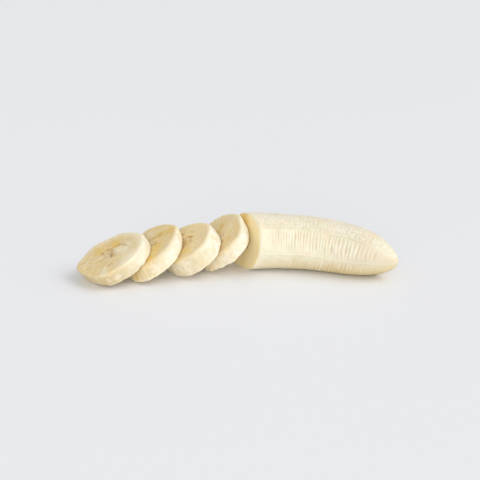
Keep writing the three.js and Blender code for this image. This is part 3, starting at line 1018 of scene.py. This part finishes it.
def banana_flesh():
    """Flesh of a ripe banana. It lets light in for about two millimetres, which softens its
    shadows. The peel leaves it creamy and satin, and the knife leaves it tan and moist. It is
    mostly water and starch, so its IOR is a little above that of water."""
    material = bpy.data.materials.new("banana_flesh")
    material.use_nodes = True
    tree = material.node_tree
    shader = tree.nodes["Principled BSDF"]
    at = read_kept(tree)
    place = add(tree, "ShaderNodeTexCoord").outputs["Object"]
    cut = add(tree, "ShaderNodeMapRange", {0: at["inset"], 1: -1.2, 2: 0.4}, interpolation_type=SOFTLY)
    wall = wall_colour(tree, at, place)
    face = cut_colour(tree, at, place)
    flesh = add(tree, "ShaderNodeMix", {0: cut, 6: wall, 7: face}, data_type="RGBA").outputs[2]
    flesh = lay_tints(tree, flesh, [
        (at["patch"], 0, -1, 0.75, SOFTLY, "#e4c166"),
        # Pale rims and a pale collar, partly painted highlight: the streak on top near the tip, the line
        # along the slices' back rims, and the face rims where they are kept to the lit side.
        (at["edge"], 0, 1, 1, EVENLY, "#f3ead0"),
    ])
    tree.links.new(flesh, shader.inputs["Base Color"])

    grain = add(tree, "ShaderNodeTexNoise", {"Vector": place, "Scale": 1 / FLESH_GRAIN, "Detail": 3.0})
    bump = add(tree, "ShaderNodeBump", {"Strength": 0.5, "Distance": GRAIN_HEIGHT, "Height": grain})
    tree.links.new(bump.outputs[0], shader.inputs["Normal"])
    gloss = add(tree, "ShaderNodeMapRange", {0: at["inset"], 1: -0.5, 2: 1.0, 3: 0.55, 4: 0.42},
                interpolation_type=SOFTLY)
    tree.links.new(gloss.outputs[0], shader.inputs["Roughness"])
    shader.inputs["IOR"].default_value = 1.38
    shader.inputs["Subsurface Weight"].default_value = 0.45
    shader.inputs["Subsurface Radius"].default_value = (1.0, 0.75, 0.45)
    shader.inputs["Subsurface Scale"].default_value = 2.5 * MM
    return material


def painted_board():
    """Board painted matt, in a very pale cool grey: it mirrors nothing and has only a soft sheen."""
    material = bpy.data.materials.new("painted_board")
    material.use_nodes = True
    shader = material.node_tree.nodes["Principled BSDF"]
    shader.inputs["Base Color"].default_value = colour("#f2f3f6")
    shader.inputs["Roughness"].default_value = 0.6
    return material


flesh = banana_flesh()
body = make_body()
body.data.materials.append(flesh)
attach(body, "root")
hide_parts("banana_body")

for number, (node, form) in enumerate(SLICES.items(), start=1):
    piece = cut_slice(node, number, **form)
    piece.data.materials.append(flesh)
    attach(piece, "root")
    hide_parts(node)

# ---------- Floor, light and camera ----------

FLOOR_SIZE = 6
CAMERA_ELEVATION = 18
CAMERA_DISTANCE = 526 * MM
CAMERA_TARGET = (1.59 * MM, 12.37 * MM, 16.3 * MM)
LENS = 67.5
SENSOR_WIDTH = 36
NEAREST_SEEN = 10 * MM

bpy.ops.object.select_all(action="DESELECT")
bpy.ops.mesh.primitive_plane_add(size=FLOOR_SIZE)
floor = bpy.context.object
floor.name = "floor"
floor.data.materials.append(painted_board())

camera_data = bpy.data.cameras.new("camera")
camera_data.lens = LENS
camera_data.sensor_width = SENSOR_WIDTH
camera_data.clip_start = NEAREST_SEEN
camera = bpy.data.objects.new("camera", camera_data)
elevation = math.radians(CAMERA_ELEVATION)
camera.location = (
    CAMERA_TARGET[0],
    CAMERA_TARGET[1] - CAMERA_DISTANCE * math.cos(elevation),
    CAMERA_TARGET[2] + CAMERA_DISTANCE * math.sin(elevation),
)
camera.rotation_euler = (math.pi / 2 - elevation, 0, 0)
bpy.context.scene.collection.objects.link(camera)
bpy.context.scene.camera = camera


def soft_sun(name, towards, strength, spread):
    """A large soft light far off, which shines from the given direction."""
    data = bpy.data.lights.new(name, "SUN")
    data.energy = strength
    data.angle = math.radians(spread)
    light = bpy.data.objects.new(name, data)
    light.rotation_euler = mathutils.Vector(towards).to_track_quat("Z", "Y").to_euler()
    bpy.context.scene.collection.objects.link(light)


soft_sun("key", (0.75, -0.1, 0.65), strength=1.3, spread=50)
soft_sun("fill", (-0.1, -0.93, 0.29), strength=1.25, spread=40)

world = bpy.data.worlds.new("studio")
world.use_nodes = True
world.node_tree.nodes["Background"].inputs["Color"].default_value = colour("#ffffff")
world.node_tree.nodes["Background"].inputs["Strength"].default_value = 0.55
bpy.context.scene.world = world
bpy.context.scene.view_settings.view_transform = "Standard"
